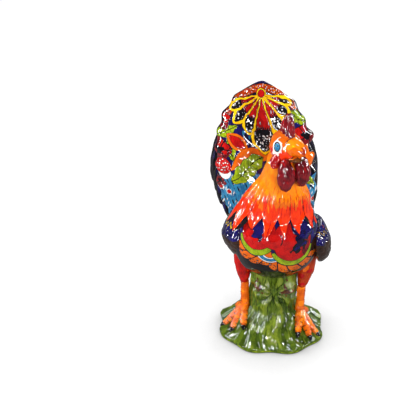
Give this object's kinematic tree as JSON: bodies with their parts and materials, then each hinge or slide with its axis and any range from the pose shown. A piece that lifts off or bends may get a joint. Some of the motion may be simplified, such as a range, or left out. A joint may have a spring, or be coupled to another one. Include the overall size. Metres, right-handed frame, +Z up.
{
  "type": "ceramic rooster statue",
  "caption": "Glazed earthenware rooster on a hollow grass mound: egg body, bell of hackle feathers, turned head, hood-shaped tail with side feathers, wings, legs and toes.",
  "frame": {"origin": "on the floor, under the middle of the statue's outer box", "axes": "+Z up, -Y the way the breast faces, +X the bird's left side"},
  "size_m": [0.2274, 0.2826, 0.4849],
  "materials": {
    "grass_glaze": "gloss",
    "navy_glaze": "gloss",
    "flame_glaze": "gloss",
    "amber_glaze": "gloss",
    "scarlet_glaze": "gloss",
    "oxblood_glaze": "gloss"
  },
  "bodies": {
    "root": {"grass_mound": "grass_glaze", "body_shell": "navy_glaze", "neck_hackle": "flame_glaze", "tail_shell": "navy_glaze", "head": "scarlet_glaze", "upper_beak": "amber_glaze", "lower_beak": "amber_glaze", "comb": "oxblood_glaze", "tail_plume": "navy_glaze", "left_wattle": "oxblood_glaze", "left_ear_lobe": "scarlet_glaze", "left_wing": "navy_glaze", "left_thigh": "scarlet_glaze", "left_shank": "amber_glaze", "left_inner_toe": "amber_glaze", "left_middle_toe": "amber_glaze", "left_outer_toe": "amber_glaze", "left_hind_toe": "amber_glaze", "left_sickle_1": "navy_glaze", "left_sickle_2": "navy_glaze", "left_sickle_3": "navy_glaze", "left_sickle_4": "navy_glaze", "right_wattle": "oxblood_glaze", "right_ear_lobe": "scarlet_glaze", "right_wing": "navy_glaze", "right_thigh": "scarlet_glaze", "right_shank": "amber_glaze", "right_inner_toe": "amber_glaze", "right_middle_toe": "amber_glaze", "right_outer_toe": "amber_glaze", "right_hind_toe": "amber_glaze", "right_sickle_1": "navy_glaze", "right_sickle_2": "navy_glaze", "right_sickle_3": "navy_glaze", "right_sickle_4": "navy_glaze"}
  },
  "joints": []
}
